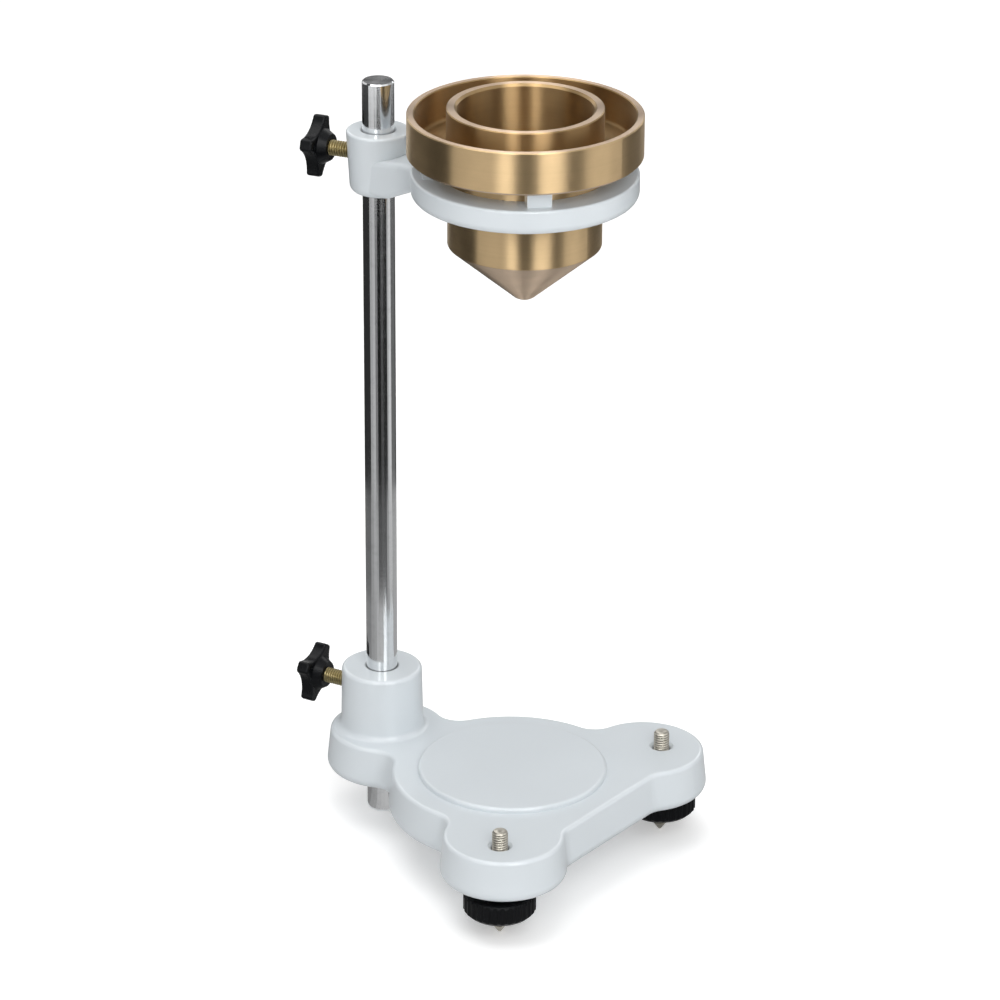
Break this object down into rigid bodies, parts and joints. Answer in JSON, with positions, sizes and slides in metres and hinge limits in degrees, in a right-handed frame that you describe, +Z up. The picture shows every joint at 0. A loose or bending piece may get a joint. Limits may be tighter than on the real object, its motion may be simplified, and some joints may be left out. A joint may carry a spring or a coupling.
{
  "type": "flow cup viscometer",
  "caption": "Brass efflux cup with overflow gallery, carried by an enamelled bracket on a chromed column over a three-lobed levelling base.",
  "frame": {"origin": "middle of the column's foot, on the table", "axes": "+Z up along the column, +X from the column towards the cup, +Y to the rear levelling screw"},
  "size_m": [0.1504, 0.1374, 0.3044],
  "materials": {
    "base_enamel": "glossy cool light grey enamel on a casting",
    "bracket_enamel": "glossy cool light grey enamel on a casting",
    "rod_chrome": "bright plated ground rod",
    "column_screw_zinc": "yellow zinc plated thread",
    "bracket_screw_zinc": "yellow zinc plated thread",
    "front_screw_nickel": "bright nickel plated thread",
    "rear_screw_nickel": "bright nickel plated thread",
    "column_knob_black": "satin black moulding",
    "bracket_knob_black": "satin black moulding",
    "front_wheel_black": "satin black moulding",
    "rear_wheel_black": "satin black moulding",
    "cup_brass": "fine turned brass",
    "gallery_brass": "fine turned brass",
    "jet_brass": "fine turned brass"
  },
  "bodies": {
    "base": {"base_casting": "base_enamel"},
    "column": {"column_rod": "rod_chrome"},
    "bracket": {"cup_bracket": "bracket_enamel"},
    "cup": {"cup_body": "cup_brass", "overflow_gallery": "gallery_brass", "orifice_jet": "jet_brass"},
    "column_screw": {"column_clamp_screw": "column_screw_zinc"},
    "column_knob": {"column_clamp_knob": "column_knob_black"},
    "bracket_screw": {"bracket_clamp_screw": "bracket_screw_zinc"},
    "bracket_knob": {"bracket_clamp_knob": "bracket_knob_black"},
    "front_foot": {"front_levelling_screw": "front_screw_nickel"},
    "front_wheel": {"front_levelling_wheel": "front_wheel_black"},
    "rear_foot": {"rear_levelling_screw": "rear_screw_nickel"},
    "rear_wheel": {"rear_levelling_wheel": "rear_wheel_black"}
  },
  "joints": [
    {"name": "column_turn", "type": "hinge", "parent": "base", "child": "column", "pos_m": [0, 0, 0], "axis": [0, 0, 1], "continuous": true},
    {"name": "bracket_height", "type": "slide", "parent": "column", "child": "bracket", "axis": [0, 0, 1], "range_m": [-0.188, 0.018]},
    {"name": "cup_lift", "type": "slide", "parent": "bracket", "child": "cup", "axis": [0, 0, 1], "range_m": [0, 0.08]},
    {"name": "column_clamp_travel", "type": "slide", "parent": "base", "child": "column_screw", "axis": [-0.9885, -0.1513, 0], "range_m": [0, 0.005]},
    {"name": "column_clamp_turn", "type": "hinge", "parent": "column_screw", "child": "column_knob", "pos_m": [0, 0, 0.0511], "axis": [-0.9885, -0.1513, 0], "range_deg": [0, 1800]},
    {"name": "bracket_clamp_travel", "type": "slide", "parent": "bracket", "child": "bracket_screw", "axis": [-0.9681, -0.2504, 0], "range_m": [0, 0.005]},
    {"name": "bracket_clamp_turn", "type": "hinge", "parent": "bracket_screw", "child": "bracket_knob", "pos_m": [0, 0, 0.2711], "axis": [-0.9681, -0.2504, 0], "range_deg": [0, 1800]},
    {"name": "front_foot_travel", "type": "slide", "parent": "base", "child": "front_foot", "axis": [0, 0, -1], "range_m": [-0.0007, 0.008]},
    {"name": "front_foot_turn", "type": "hinge", "parent": "front_foot", "child": "front_wheel", "pos_m": [0.097, -0.05126, 0], "axis": [0, 0, -1], "range_deg": [-250, 2870]},
    {"name": "rear_foot_travel", "type": "slide", "parent": "base", "child": "rear_foot", "axis": [0, 0, -1], "range_m": [-0.0007, 0.008]},
    {"name": "rear_foot_turn", "type": "hinge", "parent": "rear_foot", "child": "rear_wheel", "pos_m": [0.097, 0.05126, 0], "axis": [0, 0, -1], "range_deg": [-250, 2870]}
  ],
  "couplings": [
    {"joint": "column_clamp_travel", "follows": "column_clamp_turn", "m_per_rad": 0.00015915},
    {"joint": "bracket_clamp_travel", "follows": "bracket_clamp_turn", "m_per_rad": 0.00015915},
    {"joint": "front_foot_travel", "follows": "front_foot_turn", "m_per_rad": 0.00015915},
    {"joint": "rear_foot_travel", "follows": "rear_foot_turn", "m_per_rad": 0.00015915}
  ]
}
